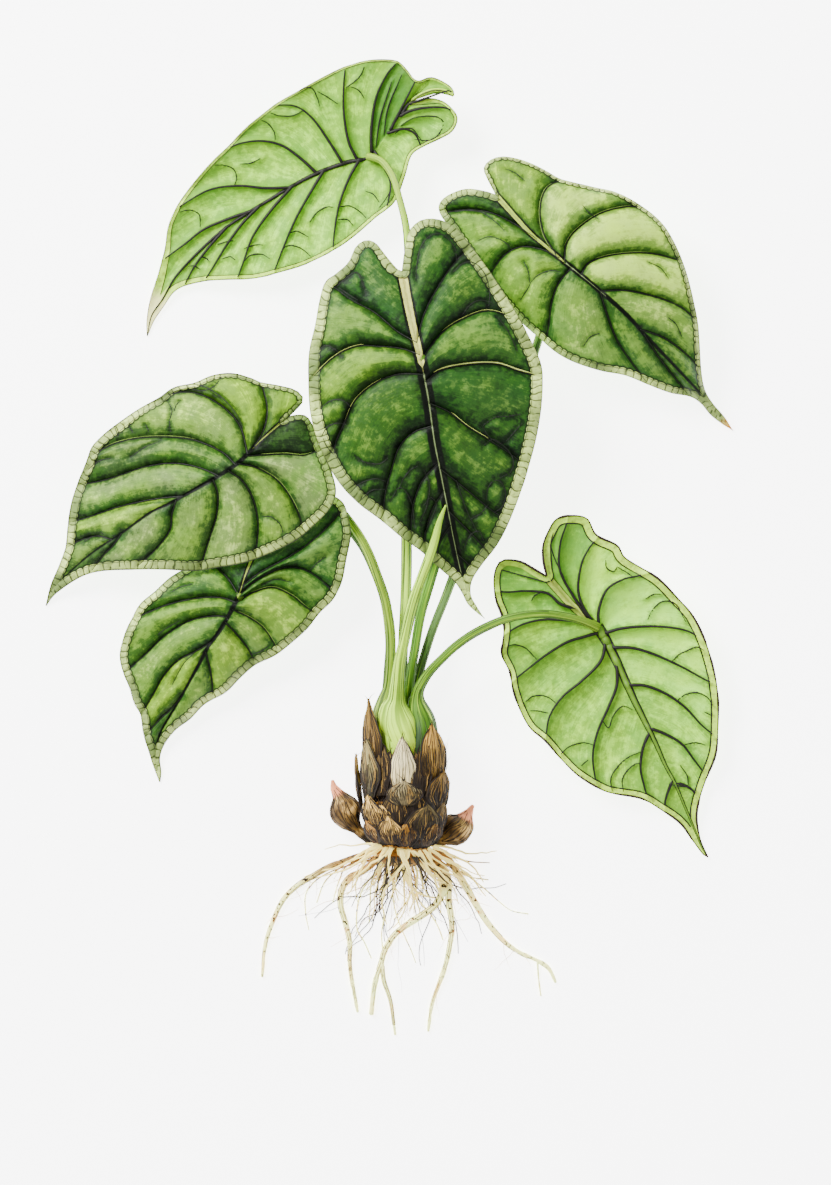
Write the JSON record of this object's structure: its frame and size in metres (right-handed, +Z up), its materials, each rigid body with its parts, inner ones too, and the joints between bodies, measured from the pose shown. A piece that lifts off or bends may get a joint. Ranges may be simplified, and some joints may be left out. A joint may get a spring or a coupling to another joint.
{
  "type": "lifted aroid house plant",
  "caption": "Small dragon-scale alocasia lifted with bare roots and laid down: quilted heart-shaped leaves on long stalks, a scaly corm with cormels, and a fan of roots.",
  "frame": {"origin": "centre of the small flat on the corm's lower side, on the surface that the plant lies on", "axes": "+Y up the plant from the roots to the leaves, +X to the right and +Z up from the surface, towards the viewer of the picture"},
  "size_m": [0.302, 0.427, 0.0544],
  "materials": {
    "leaf_upper_face": "satin",
    "leaf_underside": "matte",
    "petiole": "satin",
    "new_leaf": "satin",
    "corm": "matte",
    "papery_scale": "matte",
    "cormel": "matte",
    "root": "matte"
  },
  "bodies": {
    "root": {"blade_center": "leaf_upper_face", "blade_top_right": "leaf_upper_face", "blade_left_upper": "leaf_upper_face", "blade_left_lower": "leaf_upper_face", "blade_top_left": "leaf_underside", "blade_right_lower": "leaf_underside", "petiole_center": "petiole", "petiole_top_right": "petiole", "petiole_top_left": "petiole", "petiole_left_upper": "petiole", "petiole_left_lower": "petiole", "petiole_right_lower": "petiole", "new_leaf_spike": "new_leaf", "corm": "corm", "scale_left_brown": "papery_scale", "scale_left_streaked": "papery_scale", "scale_left_edge": "papery_scale", "scale_front_pale": "papery_scale", "scale_front_under": "papery_scale", "scale_right_brown": "papery_scale", "scale_right_dark": "papery_scale", "scale_low_left": "papery_scale", "scale_low_front": "papery_scale", "scale_back_left": "papery_scale", "scale_back": "papery_scale", "scale_back_right": "papery_scale", "cormel_left": "cormel", "cormel_right": "cormel", "roots": "root"}
  },
  "joints": []
}
